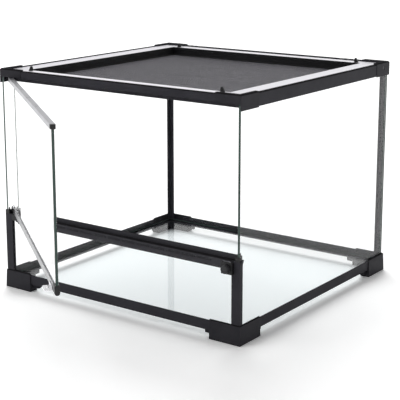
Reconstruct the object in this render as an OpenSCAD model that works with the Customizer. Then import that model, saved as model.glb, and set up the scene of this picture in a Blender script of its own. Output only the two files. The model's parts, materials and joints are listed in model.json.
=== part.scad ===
// Front-opening glass reptile terrarium with a lift-off screen lid.
// Origin: middle of the footprint on the floor. X runs to the right along the front,
// Y to the back and Z up. Millimetres. The door is drawn open, as it stands at rest.

/* [Tank] */
// Overall width of the rails, left to right
tank_w = 600; // [560:1:900]
// Overall depth of the rails, front to back
tank_d = 575; // [500:1:700]
// Overall height, floor to rail tops
tank_h = 470; // [420:1:620]

/* [Glass] */
// Thickness of the wall panes
glass_t = 5; // [4:0.1:6]
// Thickness of the floor pane
floor_glass_t = 5; // [4:0.1:6]
// Setback of the panes from the outside of the rails
glass_inset = 2; // [1.6:0.1:3]
// Gap beside a pane in its groove
glass_gap = 0.2; // [0.1:0.05:0.4]
// Gap between two panes that meet at a corner
pane_joint = 0.2; // [0.1:0.05:0.5]

/* [Bottom frame] */
// Height of the rails' underside above the floor
foot_drop = 16; // [12:0.5:24]
// Height of a bottom rail
bottom_rail_h = 21; // [18:0.5:28]
// Width of a bottom rail, outside to inside
bottom_rail_w = 16; // [14:0.5:22]
// Depth of the wall panes in the bottom rails
bottom_groove_d = 12; // [9:0.5:14]
// Depth of the floor pane's top below the rail tops
floor_sink = 10; // [8:0.5:12]
// Length of a foot along each rail
foot_leg = 68; // [56:1:90]
// How far the rail ends stop short of the tank's corner
rail_stop = 40; // [30:1:48]
// How far a foot stands outside the rails
foot_proud = 1.5; // [1:0.1:3]
// Extra spread of a foot at the floor
foot_draft = 1.5; // [0:0.1:3]
// Height of a foot's rim above the rails
foot_rim = 2.5; // [1.5:0.1:5]
// Bevel along a foot's top edge
foot_bevel = 2; // [0.5:0.1:2.8]
// Wall of a foot round its hollow underside
foot_wall = 2.4; // [1.6:0.1:4]
// Roof of a foot over its hollow underside
foot_roof = 3; // [2:0.5:5]
// Inner skin of a foot past the rail
foot_skin = 2; // [1:0.1:4]
// Reach of the round lug under each rail past the foot
lug_reach = 17; // [12:1:24]
// Width of the lug
lug_w = 11; // [8:1:13]
// Depth of the lug below the rail
lug_h = 8; // [4:0.5:10]

/* [Top frame] */
// Height of a side or back top rail
top_rail_h = 26; // [24:0.5:34]
// Height of the front top rail's face
front_band_h = 15; // [13:0.5:20]
// Depth of the door stop below the front rail's face
top_stop_h = 9.2; // [7:0.1:12]
// Width of the front and side top rails' rims
rim_w = 8; // [6:0.5:10]
// Width of the back top rail's rim
back_rim_w = 17; // [16:0.5:20]
// Width of the ledge that carries the lid
ledge_w = 18; // [15:0.5:18]
// Depth of the wall panes in the top rails
top_groove_d = 11.5; // [9:0.5:12.5]
// Height of the rims above the lid
rim_rise = 1.4; // [0.5:0.1:3]
// Length of a top corner along each rail
top_leg = 57.5; // [50:0.5:75]
// How far the top rail ends stop short of the tank's corner
top_stop = 38; // [38:1:44]
// How far a top corner stands outside the rails
top_proud = 1; // [0.8:0.1:2]
// How far a top corner stands above the rails
top_rise = 2.5; // [1:0.1:4]
// Bevel along the top corners' outer edges
top_bevel = 2.5; // [1:0.1:3]
// Bevel along the rails' outer edges
rail_bevel = 1.6; // [0.5:0.1:2]
// Wall of the hollow rails
rail_wall = 2; // [1.5:0.1:2.5]

/* [Corner screws] */
// Counterbore radius of the back corners' screw holes
screw_hole_r = 4.25; // [3.5:0.05:4.5]
// Distance of a screw from the back of the tank
screw_in = 25; // [18:0.5:28]
// Depth of a screw below the rail tops
screw_down = 10; // [9:0.5:12]
// Depth of the counterbore
screw_sink = 2.5; // [1.5:0.1:3]
// Screw head radius
screw_head_r = 3.6; // [2.8:0.1:4]
// Screw head height
screw_head_h = 1.8; // [1:0.1:2.4]
// Screw shank radius
screw_r = 1.75; // [1.5:0.05:2]
// Screw length under the head
screw_len = 12; // [8:0.5:13]

/* [Posts] */
// Leg of a back corner angle
back_post_leg = 12; // [9:0.5:30]
// Thickness of a back corner angle
back_post_t = 2; // [1.5:0.1:3]
// Face width of a front post
front_post_w = 19; // [17:0.5:24]
// Depth of a front post's side plate
front_post_side = 10; // [8:0.5:14]
// Thickness of a front post's plates
post_t = 2; // [1.5:0.1:2]
// Flare of the prong at a front post's top
prong_flare = 2.2; // [1:0.1:2.5]
// Height of the prong
prong_h = 11; // [8:0.5:14]

/* [Vent strip] */
// Height of the vent strip's ledge above the floor
vent_top_z = 162; // [140:1:200]
// Height of the vent strip's face
vent_face_h = 15; // [14:0.5:20]
// Width of the ledge under the door
vent_ledge_w = 13.2; // [12.8:0.1:16]
// Rise of the door stop above the ledge
vent_stop_h = 9; // [6:0.5:14]
// Wall of the vent strip
vent_wall = 2; // [1.5:0.1:2.5]
// Number of groups of vent slots
vent_groups = 13; // [5:1:13]
// Slots in a group
vent_slots = 7; // [3:1:7]
// Spacing of the groups
vent_group_pitch = 36.6; // [36:0.1:40]
// Spacing of the slots in a group
vent_slot_pitch = 4.8; // [4.2:0.1:5]
// Width of a slot
vent_slot_w = 2.3; // [1.5:0.1:2.6]
// Height of a slot
vent_slot_h = 6; // [4:0.1:6.5]
// Sideways lean of a slot over its height
vent_slot_lean = 2.2; // [0:0.1:3]

/* [Door] */
// Length of the door from its pivot to its free end
door_len = 556; // [500:1:564]
// How far the door stands open at rest, in degrees
door_open = 38; // [0:1:100]
// Thickness of the door pane
door_glass_t = 5; // [4:0.1:5.2]
// Distance of the pivot from the outside of the left rail
pivot_in = 20; // [18.5:0.5:24]
// Distance of the pivot from the front of the tank
pivot_back = 8; // [7.6:0.1:8.2]
// Width of the door's top rail
door_top_w = 9.7; // [9:0.1:10]
// Height of the door's top rail
door_top_h = 8.4; // [7:0.1:8.6]
// Width of the door's bottom rail
door_bottom_w = 8.9; // [8.6:0.1:9.4]
// Height of the door's bottom rail
door_bottom_h = 16.5; // [14:0.5:20]
// Depth of the pane in the top rail
door_top_grip = 5; // [3:0.1:5.4]
// Depth of the pane in the bottom rail
door_bottom_grip = 8; // [5:0.5:9]
// Gap above the door's top rail
door_gap_top = 0.6; // [0.4:0.1:1]
// Gap under the door's bottom rail
door_gap_bottom = 1.5; // [1.2:0.1:3]
// Length of the cap on the top rail's free end
cap_top_len = 7; // [5:0.5:12]
// Length of the cap on the bottom rail's free end
cap_bottom_len = 18; // [10:0.5:24]
// How far the bottom cap stands round its rail
cap_swell = 0.4; // [0.2:0.1:0.4]
// Gap between the two halves of the top rail
seam_gap = 2; // [0.1:0.1:3]
// Radius of the screw heads on the top rail
rail_screw_r = 2.3; // [1:0.1:2.4]
// Distance of those screws from the top rail's seam
rail_screw_off = 98; // [40:1:150]
// Pivot pin radius
pin_r = 3; // [2.5:0.05:3.2]
// Running clearance of the pins in their bores
pin_clear = 0.05; // [0.02:0.01:0.1]
// Reach of a pivot pin into its bore
pin_reach = 6; // [4:0.5:6.5]

/* [Door pull] */
// Length of the pull along the door
pull_len = 31; // [20:1:40]
// Gap between the pull and the bottom cap
pull_gap = 2; // [1:0.5:10]
// How far the pull stands out from the door
pull_out = 14; // [8:0.5:16]
// Thickness of the pull's plate
pull_t = 1.8; // [1:0.1:2.5]
// Height of the flange that fixes the pull to the rail
pull_flange_h = 9; // [6:0.5:11]

/* [Lock] */
// Centre of the lock, from the right end of the rails
lock_in = 25; // [24:0.5:40]
// Width of the lock body
lock_w = 24; // [22:0.5:28]
// Height of the lock body
lock_h = 23; // [22.5:0.1:26]
// Depth of the lock body
lock_d = 8; // [7.5:0.1:10]
// Wall of the lock body
lock_wall = 1.4; // [1.2:0.1:1.6]
// Depth of the knob's axis below the ledge
lock_axis_down = 14; // [13.6:0.1:14.4]
// Knob radius
knob_r = 8.3; // [7:0.1:10]
// Knob depth
knob_d = 8; // [6:0.5:12]
// Lift of the latch plate over a quarter turn
latch_lift = 9; // [7:0.1:9]
// Width of the latch plate
latch_w = 18; // [17:0.5:19]
// Thickness of the latch plate
latch_t = 2.4; // [1.8:0.1:2.6]

/* [Lid] */
// Gap between the lid and the rims
lid_gap = 0.6; // [0.3:0.1:1]
// Width of the front and back bars of the lid's metal frame
lid_frame_w = 25; // [25:0.5:34]
// Width of its side bars
lid_side_w = 38; // [30:0.5:42]
// Height of the lid's metal frame
lid_frame_h = 5.2; // [4.6:0.1:7]
// Wall of the lid's metal frame
lid_frame_wall = 1.2; // [0.8:0.1:1.4]
// Depth of the screen well below the metal frame
lid_well_d = 15.4; // [9:0.1:20]
// Wall of the screen well
lid_well_wall = 2; // [1.4:0.1:3]
// Thickness of the well's collar, which lines the metal frame's inner edge
well_collar = 1; // [0.6:0.1:1.6]
// Width of the lip under the screen
screen_lip = 6.6; // [4:0.1:10]
// Thickness of that lip
screen_lip_t = 1.2; // [0.8:0.1:2]
// Thickness of the screen
screen_t = 0.4; // [0.3:0.1:1.2]
// Number of openings across the screen, and along it
screen_cells = 12; // [10:1:12]
// Width of the bars between the openings
screen_bar = 5; // [2:0.5:8]
// Width of the screen's solid edge
screen_hem = 6; // [5:0.5:12]
// Width of the cord that holds the screen down
spline_w = 3; // [2:0.1:3.6]
// Height of that cord
spline_h = 2.4; // [1.5:0.1:4]
// Reach of the metal frame's corner pieces, from the outside of the rails
lid_corner_leg = 68; // [66:1:80]
// Length of a corner piece's tenon inside a bar
lid_tenon = 22; // [10:1:40]

/* [Lid clamps] */
// Distance of a clamp's axis from the side of the tank
clamp_side = 60; // [58:0.5:62]
// Distance of a clamp's axis from the edge of the ledge
clamp_off = 2.6; // [2.5:0.1:2.7]
// Reach of a clamp's tongue from its axis
clamp_reach = 9; // [6:0.1:10]
// Width of the tongue
clamp_tongue_w = 4.4; // [4:0.1:4.6]
// Thickness of the tongue
clamp_tongue_t = 2; // [1.5:0.1:3]
// Shaft radius of a clamp
clamp_r = 2; // [1.6:0.05:2.1]
// Height of the thumb fin
fin_h = 8.5; // [5:0.5:10]
// Width of the thumb fin at its foot
fin_w = 9; // [7:0.5:9]
// Thickness of the thumb fin
fin_t = 3.2; // [2:0.1:4]

/* [Cable inlets] */
// Length of a cable inlet
inlet_len = 35; // [20:1:38]
// Width of a cable inlet
inlet_w = 5.2; // [4.6:0.1:5.4]
// Length of an inlet's slider
slider_len = 50; // [44:1:56]
// Thickness of a slider
slider_t = 1.9; // [1.4:0.1:2.4]
// Travel of a slider
slider_travel = 36; // [20:1:37]
// Left end of the left slider, from the left side of the tank
slider_left_at = 58.5; // [58:0.5:80]
// Right end of the right slider, from the right side of the tank
slider_right_at = 66; // [58:0.5:80]
// Number of grip ribs on a slider
slider_ribs = 3; // [2:1:3]
// Height of the ribs
rib_h = 1.5; // [0.8:0.1:2.5]
// Spacing of the ribs
rib_pitch = 14; // [9:0.5:15]
// Length of a rib
rib_len = 6; // [3:0.5:8]

/* [Hidden] */
FINE = 48;
EPS = 0.01;
// room beyond a solid for a cut that has to run clean through it
OVER = 1;
// clearance of a part that slides or lies loose in its seat
SLIDE = 0.15;
// clearance of a part that is pushed home and stays
SEAT = 0.1;

rail_z0 = foot_drop;
rail_z1 = rail_z0 + bottom_rail_h;
groove_z = rail_z1 - bottom_groove_d;
floor_z1 = rail_z1 - floor_sink;
floor_z0 = floor_z1 - floor_glass_t;
foot_z1 = rail_z1 + foot_rim;

slot_in = glass_inset - glass_gap;
slot_out = glass_inset + glass_t + glass_gap;
pane_back = glass_inset + glass_t;

side_z0 = tank_h - top_rail_h;
roof_z = side_z0 + top_groove_d;
band_z = tank_h - front_band_h;
stop_z = band_z - top_stop_h;
lid_z1 = tank_h - rim_rise;
lid_z0 = lid_z1 - lid_frame_h;
ledge_z0 = roof_z + 0.5;
pane_z1 = roof_z - glass_gap;
lip_t = 2;

vent_z0 = vent_top_z - vent_face_h;
vent_roof_z = vent_z0 + 3.6;
vent_clip_z = vent_z0 - 5;
front_pane_z1 = vent_roof_z - glass_gap;
vent_stop_z = vent_top_z + vent_stop_h;
stop_t = 2.5;

hinge_x = -tank_w / 2 + pivot_in;
hinge_y = -tank_d / 2 + pivot_back;
hinge_block_u = pivot_in + 9;
door_z1 = band_z - door_gap_top;
door_top_z0 = door_z1 - door_top_h;
door_z0 = vent_top_z + door_gap_bottom;
door_bottom_z1 = door_z0 + door_bottom_h;
door_glass_z0 = door_bottom_z1 - door_bottom_grip;
door_glass_z1 = door_top_z0 + door_top_grip;
door_glass_s0 = 6;
door_glass_s1 = door_len - 2;
door_seam = (door_len - cap_top_len) / 2;
door_slot = door_glass_t / 2 + glass_gap;
pull_s1 = door_len - cap_bottom_len - pull_gap;

lock_x = tank_w / 2 - lock_in;
lock_z1 = vent_top_z - 1.6;
lock_z0 = lock_z1 - lock_h;
knob_z = vent_top_z - lock_axis_down;
lock_face = lock_d;
crank_r = latch_lift / sqrt(2);
peg_r = 1.4;
shaft_r = 2.5;
crank_t = 1.5;
latch_front = 5.6;
latch_z1 = vent_top_z;
latch_z0 = knob_z - crank_r * sqrt(1 / 2) - peg_r - 1.6;

lid_near = rim_w + lid_gap;
lid_near_back = back_rim_w + lid_gap;
well_z0 = lid_z0 - lid_well_d;
screen_z0 = well_z0 + screen_lip_t;
well_step = 0.2;
clamp_tongue_z1 = ledge_z0 - 0.5;

inlet_u = (rail_wall + slot_out + back_rim_w) / 2 - inlet_w / 2 - 1;
slider_w = inlet_w + 1.8;
slider_z1 = tank_h - 0.05;

// ---- placing -------------------------------------------------------------------------------

// Puts a shape drawn for the front left corner, measured inwards from the outside of the rails,
// at any corner.
module at_corner(right = false, back = false) {
    mirror([right ? 1 : 0, 0, 0])
        mirror([0, back ? 1 : 0, 0])
            translate([-tank_w / 2, -tank_d / 2, 0])
                children();
}

// Runs a section of inward distance and height along X.
module run_x(from, to) {
    translate([from, 0, 0])
        rotate([90, 0, 90])
            linear_extrude(to - from)
                children();
}

// Runs a section of inward distance and height along Y.
module run_y(from, to) {
    translate([0, to, 0])
        rotate([90, 0, 0])
            linear_extrude(to - from)
                children();
}

// A box between two corners.
module block(low, high) {
    translate(low)
        cube(high - low);
}

// Corners of a rectangle at given distances from the sides, the front and the back of the tank.
function inset(side, front, back) = [
    [-tank_w / 2 + side, -tank_d / 2 + front], [tank_w / 2 - side, -tank_d / 2 + front],
    [tank_w / 2 - side, tank_d / 2 - back], [-tank_w / 2 + side, tank_d / 2 - back]];

// One side of a frame with mitred ends, between two rectangles: 0 front, 1 right, 2 back, 3 left.
module mitred(side, outer, inner, z0, z1) {
    next = (side + 1) % 4;
    translate([0, 0, z0])
        linear_extrude(z1 - z0)
            polygon([outer[side], outer[next], inner[next], inner[side]]);
}

// Turns a shape drawn for the front edge into one for the left edge.
module on_left() {
    mirror([1, -1, 0])
        children();
}

// Places the door's parts, drawn along X from the pivot, at the door's resting angle.
module on_door() {
    translate([hinge_x, hinge_y, 0])
        rotate([0, 0, -door_open])
            children();
}

// ---- sections ------------------------------------------------------------------------------

function bottom_section() = [
    [0, rail_z0], [bottom_rail_w, rail_z0], [bottom_rail_w, floor_z0], [slot_out, floor_z0],
    [slot_out, groove_z], [slot_in, groove_z], [slot_in, rail_z1], [0, rail_z1]];

// The ledge, and the rim above it up to the bevel along the outer edge.
function ledge_and_rim(rim) = [
    [rim + ledge_w, ledge_z0], [rim + ledge_w, lid_z0], [rim, lid_z0], [rim, tank_h],
    [rail_bevel, tank_h], [0, tank_h - rail_bevel]];

function side_section(rim = rim_w) = concat([
    [0, side_z0], [slot_in, side_z0], [slot_in, roof_z], [slot_out, roof_z], [slot_out, side_z0],
    [slot_out + lip_t, side_z0], [slot_out + lip_t, ledge_z0]], ledge_and_rim(rim));

function front_tail() = concat([
    [vent_ledge_w, band_z], [vent_ledge_w, stop_z], [vent_ledge_w + stop_t, stop_z],
    [vent_ledge_w + stop_t, ledge_z0]], ledge_and_rim(rim_w));

function front_solid_section() = concat([[0, band_z]], front_tail());

function front_section() = concat([
    [0, band_z], [rail_wall, band_z], [rail_wall, lid_z0 - rail_wall],
    [vent_ledge_w - rail_wall, lid_z0 - rail_wall], [vent_ledge_w - rail_wall, band_z]], front_tail());

// ---- glass ---------------------------------------------------------------------------------

module floor_glass() {
    gap = slot_out + glass_gap;
    color([0.9, 0.95, 0.97, 0.4])
        block([-tank_w / 2 + gap, -tank_d / 2 + gap, floor_z0],
            [tank_w / 2 - gap, tank_d / 2 - gap, floor_z1]);
}

module side_pane() {
    front = post_t + 0.3;
    block([glass_inset, front, groove_z], [pane_back, tank_d - glass_inset, pane_z1]);
}

module left_glass() {
    color([0.85, 0.93, 0.9, 0.35])
        at_corner()
            side_pane();
}

module right_glass() {
    color([0.85, 0.93, 0.9, 0.35])
        at_corner(right = true)
            side_pane();
}

module back_glass() {
    reach = tank_w / 2 - pane_back - pane_joint;
    color([0.85, 0.93, 0.9, 0.35])
        block([-reach, tank_d / 2 - pane_back, groove_z], [reach, tank_d / 2 - glass_inset, pane_z1]);
}

module front_lower_glass() {
    reach = tank_w / 2 - slot_out - post_t - pane_joint;
    color([0.85, 0.93, 0.9, 0.35])
        block([-reach, -tank_d / 2 + glass_inset, groove_z],
            [reach, -tank_d / 2 + pane_back, front_pane_z1]);
}

// ---- bottom frame --------------------------------------------------------------------------

// Outline of a foot's outside, from a draft at the floor to a bevel at its rim.
function foot_outline() = [
    [-foot_proud - foot_draft, 0], [foot_leg, 0], [foot_leg, foot_z1],
    [foot_bevel - foot_proud, foot_z1], [-foot_proud, foot_z1 - foot_bevel]];

module foot_leg_cuts() {
    inner = bottom_rail_w + foot_skin;
    // pocket for the end of the rail
    block([rail_stop, 0, rail_z0], [foot_leg + OVER, bottom_rail_w, rail_z1]);
    // groove for the wall pane
    block([slot_in, slot_in, groove_z], [foot_leg + OVER, slot_out, foot_z1 + OVER]);
    // hollow underside
    block([foot_wall, foot_wall, -OVER], [foot_leg - foot_wall, inner - foot_wall, foot_drop - foot_roof]);
}

module foot_lug() {
    mid = bottom_rail_w - lug_w / 2;
    block([foot_leg - EPS, mid - lug_w / 2, rail_z0 - lug_h],
        [foot_leg + lug_reach - lug_w / 2, mid + lug_w / 2, rail_z0]);
    translate([foot_leg + lug_reach - lug_w / 2, mid, rail_z0 - lug_h])
        cylinder(h = lug_h, r = lug_w / 2, $fn = FINE);
}

module foot() {
    inner = bottom_rail_w + foot_skin;
    reach = foot_proud + foot_draft + OVER;
    color([0.2, 0.2, 0.21]) {
        difference() {
            intersection() {
                run_x(-reach, foot_leg)
                    polygon(foot_outline());
                run_y(-reach, foot_leg)
                    polygon(foot_outline());
            }
            // room inside the L, and above the floor pane's seat
            block([inner, inner, -OVER], [foot_leg + OVER, foot_leg + OVER, foot_z1 + OVER]);
            block([slot_out, slot_out, floor_z0], [foot_leg + OVER, foot_leg + OVER, foot_z1 + OVER]);
            foot_leg_cuts();
            on_left()
                foot_leg_cuts();
        }
        foot_lug();
        on_left()
            foot_lug();
    }
}

module foot_front_left() {
    at_corner()
        foot();
}

module foot_front_right() {
    at_corner(right = true)
        foot();
}

module foot_back_left() {
    at_corner(back = true)
        foot();
}

module foot_back_right() {
    at_corner(right = true, back = true)
        foot();
}

module bottom_rail_x() {
    color([0.19, 0.19, 0.2])
        run_x(rail_stop, tank_w - rail_stop)
            polygon(bottom_section());
}

module bottom_rail_y() {
    color([0.19, 0.19, 0.2])
        run_y(rail_stop, tank_d - rail_stop)
            polygon(bottom_section());
}

module bottom_rail_front() {
    at_corner()
        bottom_rail_x();
}

module bottom_rail_back() {
    at_corner(back = true)
        bottom_rail_x();
}

module bottom_rail_left() {
    at_corner()
        bottom_rail_y();
}

module bottom_rail_right() {
    at_corner(right = true)
        bottom_rail_y();
}

// ---- top frame -----------------------------------------------------------------------------

// Outline of a top corner's outside, down to a given height, with its bevelled top edge.
function corner_outline(low) = [
    [-top_proud, low], [top_leg, low], [top_leg, tank_h + top_rise],
    [top_bevel - top_proud, tank_h + top_rise], [-top_proud, tank_h + top_rise - top_bevel]];

module corner_skin_x(low, rim) {
    difference() {
        block([-top_proud, -top_proud, low], [top_leg, rim, tank_h + top_rise]);
        block([-top_proud - OVER, 0, low - OVER], [top_leg + OVER, rim + OVER, tank_h - rail_bevel]);
        run_x(-top_proud - OVER, top_leg + OVER)
            polygon([[0, tank_h - rail_bevel - OVER], [rim + OVER, tank_h - rail_bevel - OVER],
                [rim + OVER, tank_h], [rail_bevel, tank_h], [0, tank_h - rail_bevel]]);
    }
}

// A top corner: the sections of its two rails run into the corner, and a skin wraps the rail ends.
module top_corner(section, low, rim) {
    skin_low = side_z0 - 1.5;
    intersection() {
        union() {
            run_x(0, top_stop)
                polygon(section);
            run_y(0, top_stop)
                polygon(side_section());
            corner_skin_x(low, rim);
            on_left()
                corner_skin_x(skin_low, rim_w);
        }
        run_x(-top_proud - OVER, top_leg)
            polygon(corner_outline(skin_low));
        run_y(-top_proud - OVER, top_leg)
            polygon(corner_outline(skin_low));
    }
}

module side_pane_slot() {
    block([slot_in, slot_in, side_z0 - 3], [slot_out, top_leg + OVER, roof_z]);
}

module top_front_corner(bored) {
    color([0.22, 0.22, 0.23])
        difference() {
            top_corner(front_solid_section(), band_z, rim_w);
            side_pane_slot();
            // room for the door's end under the face
            block([slot_out, -top_proud - OVER, side_z0 - 3], [top_stop + OVER, vent_ledge_w, band_z]);
            if (bored)
                translate([pivot_in, pivot_back, band_z - OVER])
                    cylinder(h = pin_reach + OVER + 0.5, r = pin_r + pin_clear, $fn = FINE);
        }
}

module top_back_corner() {
    color([0.22, 0.22, 0.23])
        difference() {
            top_corner(side_section(back_rim_w), side_z0 - 1.5, back_rim_w);
            side_pane_slot();
            on_left()
                side_pane_slot();
            translate([-top_proud, screw_in, tank_h - screw_down])
                rotate([0, 90, 0]) {
                    translate([0, 0, -OVER])
                        cylinder(h = screw_sink + OVER, r = screw_hole_r, $fn = FINE);
                    cylinder(h = screw_sink + screw_len + 1, r = screw_r + SEAT / 2, $fn = FINE);
                }
        }
}

module top_corner_front_left() {
    at_corner()
        top_front_corner(bored = true);
}

module top_corner_front_right() {
    at_corner(right = true)
        top_front_corner(bored = false);
}

module top_corner_back_left() {
    at_corner(back = true)
        top_back_corner();
}

module top_corner_back_right() {
    at_corner(right = true, back = true)
        top_back_corner();
}

module top_rail_y() {
    color([0.19, 0.19, 0.2])
        run_y(top_stop, tank_d - top_stop)
            polygon(side_section());
}

module top_rail_front() {
    color([0.19, 0.19, 0.2])
        at_corner()
            run_x(top_stop, tank_w - top_stop)
                polygon(front_section());
}

// The dovetailed track of a cable inlet's slider, grown by a clearance.
module slider_track(from, to, grow) {
    low = slider_z1 - slider_t - grow;
    run_x(from - grow, to + grow)
        polygon([[inlet_u - 0.9 - grow, low], [inlet_u + inlet_w + 0.9 + grow, low],
            [inlet_u + inlet_w + 0.6 + grow, tank_h + grow], [inlet_u - 0.6 - grow, tank_h + grow]]);
}

module inlet_hole(from) {
    spare = (slider_len - inlet_len) / 2;
    block([from + spare, inlet_u, ledge_z0 - OVER],
        [from + spare + inlet_len, inlet_u + inlet_w, tank_h + OVER]);
}

module top_rail_back() {
    right_at = tank_w - slider_right_at - slider_len;
    color([0.19, 0.19, 0.2])
        at_corner(back = true)
            difference() {
                run_x(top_stop, tank_w - top_stop)
                    polygon(side_section(back_rim_w));
                slider_track(slider_left_at, slider_left_at + slider_len + slider_travel, SLIDE);
                slider_track(right_at - slider_travel, right_at + slider_len, SLIDE);
                inlet_hole(slider_left_at);
                inlet_hole(right_at);
            }
}

module top_rail_left() {
    at_corner()
        top_rail_y();
}

module top_rail_right() {
    at_corner(right = true)
        top_rail_y();
}

module corner_screw() {
    translate([-top_proud + screw_sink - screw_head_h, screw_in, tank_h - screw_down])
        rotate([0, 90, 0]) {
            difference() {
                cylinder(h = screw_head_h, r = screw_head_r, $fn = FINE);
                // cross recess
                for (turn = [0, 90])
                    rotate([0, 0, turn])
                        translate([-screw_head_r * 0.6, -0.4, -OVER])
                            cube([screw_head_r * 1.2, 0.8, OVER + screw_head_h * 0.6]);
            }
            cylinder(h = screw_head_h + screw_len, r = screw_r, $fn = FINE);
        }
}

module corner_screws() {
    color([0.25, 0.25, 0.26]) {
        at_corner(back = true)
            corner_screw();
        at_corner(right = true, back = true)
            corner_screw();
    }
}

// ---- posts ---------------------------------------------------------------------------------

module back_post() {
    near = pane_back + SEAT;
    far = near + back_post_leg;
    color([0.17, 0.17, 0.18])
        difference() {
            block([near, near, floor_z1], [far, far, side_z0 - SEAT]);
            block([near + back_post_t, near + back_post_t, floor_z1 - OVER],
                [far + OVER, far + OVER, tank_h]);
        }
}

module back_post_left() {
    at_corner(back = true)
        back_post();
}

module back_post_right() {
    at_corner(right = true, back = true)
        back_post();
}

function front_post_outline() = [
    [0, 0], [front_post_w, 0], [front_post_w, post_t], [slot_out + post_t, post_t],
    [slot_out + post_t, pane_back + SEAT], [front_post_w, pane_back + SEAT],
    [front_post_w, pane_back + SEAT + post_t], [slot_out, pane_back + SEAT + post_t],
    [slot_out, post_t], [slot_in, post_t], [slot_in, front_post_side], [0, front_post_side]];

module front_post() {
    low = foot_z1;
    top = vent_top_z;
    color([0.2, 0.2, 0.21]) {
        difference() {
            translate([0, 0, low])
                linear_extrude(top - low)
                    polygon(front_post_outline());
            // the strip's ends and the hinge block take the inside of the post's top
            block([slot_out - OVER, post_t, vent_roof_z],
                [front_post_w + OVER, front_post_side + OVER, top + OVER]);
        }
        // flared prong on the outer side of the top
        run_y(3, front_post_side)
            polygon([[EPS, top - prong_h + 4], [EPS, top + 3.6], [-prong_flare, top + 3.6],
                [-prong_flare, top + 1.5]]);
        run_y(3, front_post_side)
            polygon([[0, top - EPS], [slot_in, top - EPS], [slot_in, top + 3.6], [0, top + 3.6]]);
    }
}

module front_post_left() {
    at_corner()
        front_post();
}

module front_post_right() {
    at_corner(right = true)
        front_post();
}

// ---- vent strip ----------------------------------------------------------------------------

function vent_section() = [
    [0, vent_z0 + 2.4], [0.7, vent_z0 + 2.4], [0.7, vent_z0], [slot_in, vent_z0],
    [slot_in, vent_roof_z], [slot_out, vent_roof_z], [slot_out, vent_clip_z],
    [slot_out + vent_wall, vent_clip_z], [slot_out + vent_wall, vent_roof_z + 1.6],
    [vent_wall, vent_roof_z + 1.6], [vent_wall, vent_top_z - vent_wall],
    [vent_ledge_w, vent_top_z - vent_wall], [vent_ledge_w, vent_top_z - vent_wall - 4],
    [vent_ledge_w + stop_t, vent_top_z - vent_wall - 4], [vent_ledge_w + stop_t, vent_stop_z],
    [vent_ledge_w, vent_stop_z], [vent_ledge_w, vent_top_z], [0, vent_top_z]];

module vent_slot_cut(x) {
    z = vent_top_z - vent_wall - vent_slot_h - 0.2;
    lean = vent_slot_lean / 2;
    half = vent_slot_w / 2;
    translate([x, vent_wall + OVER, z])
        rotate([90, 0, 0])
            linear_extrude(vent_wall + 2 * OVER)
                polygon([[-half - lean, 0], [half - lean, 0], [half + lean, vent_slot_h],
                    [-half + lean, vent_slot_h]]);
}

module vent_strip() {
    color([0.2, 0.2, 0.21])
        at_corner()
            difference() {
                run_x(hinge_block_u + SEAT, tank_w - front_post_w - SEAT)
                    polygon(vent_section());
                for (group = [0 : vent_groups - 1])
                    for (slot = [0 : vent_slots - 1])
                        vent_slot_cut(tank_w / 2 + (group - (vent_groups - 1) / 2) * vent_group_pitch
                            + (slot - (vent_slots - 1) / 2) * vent_slot_pitch);
            }
}

// Upper part of a strip end, beside the door: it caps the side pane's front edge.
module strip_cheek() {
    cheek = slot_out + 3.4;
    top = vent_stop_z;
    block([0.4, 0, vent_top_z + SEAT], [cheek, post_t + SEAT + EPS, top]);
    block([slot_out, post_t + SEAT, vent_roof_z + SEAT], [cheek, vent_ledge_w + stop_t, top]);
    for (at = [post_t, vent_ledge_w - 3])
        run_y(at, at + 2.4)
            polygon([[slot_out + 0.4, top - EPS], [cheek - 0.4, top - EPS], [cheek - 1.2, top + 5],
                [slot_out + 1.2, top + 5]]);
}

module hinge_block() {
    bore_depth = pin_reach + SEAT;
    color([0.16, 0.16, 0.17])
        at_corner()
            difference() {
                union() {
                    block([slot_out, post_t + SEAT, vent_roof_z + SEAT],
                        [hinge_block_u, vent_ledge_w + stop_t, vent_top_z + 0.3]);
                    block([front_post_w + SEAT, 0, vent_roof_z + SEAT],
                        [hinge_block_u, post_t + SEAT + EPS, vent_top_z + 0.3]);
                    block([front_post_w + SEAT, 0, vent_z0 + 2.4],
                        [hinge_block_u, slot_in, vent_roof_z + 1]);
                    block([slot_out, vent_ledge_w, vent_top_z],
                        [hinge_block_u, vent_ledge_w + stop_t, vent_stop_z]);
                    strip_cheek();
                }
                translate([pivot_in, pivot_back, vent_top_z + 0.3 - bore_depth])
                    cylinder(h = bore_depth + OVER, r = pin_r + pin_clear, $fn = FINE);
            }
}

module strip_end() {
    color([0.16, 0.16, 0.17])
        at_corner(right = true) {
            block([slot_out, post_t + SEAT, vent_roof_z + SEAT],
                [front_post_w, vent_ledge_w + stop_t, vent_top_z]);
            block([slot_out, vent_ledge_w, vent_top_z - EPS],
                [front_post_w, vent_ledge_w + stop_t, vent_stop_z]);
            strip_cheek();
        }
}

// ---- door ----------------------------------------------------------------------------------

module door_glass() {
    color([0.85, 0.93, 0.9, 0.35])
        on_door()
            block([door_glass_s0, -door_glass_t / 2, door_glass_z0],
                [door_glass_s1, door_glass_t / 2, door_glass_z1]);
}

module door_top_outline() {
    translate([-door_top_w / 2, door_top_z0])
        square([door_top_w, door_top_h]);
}

module door_top_slot() {
    translate([-door_slot, door_top_z0 - OVER])
        square([2 * door_slot, door_top_grip + glass_gap + OVER]);
}

module rail_screw_hole(s) {
    translate([s, 0, door_z1 - 1])
        cylinder(h = 1 + OVER, r = rail_screw_r + SEAT, $fn = 24);
}

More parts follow.
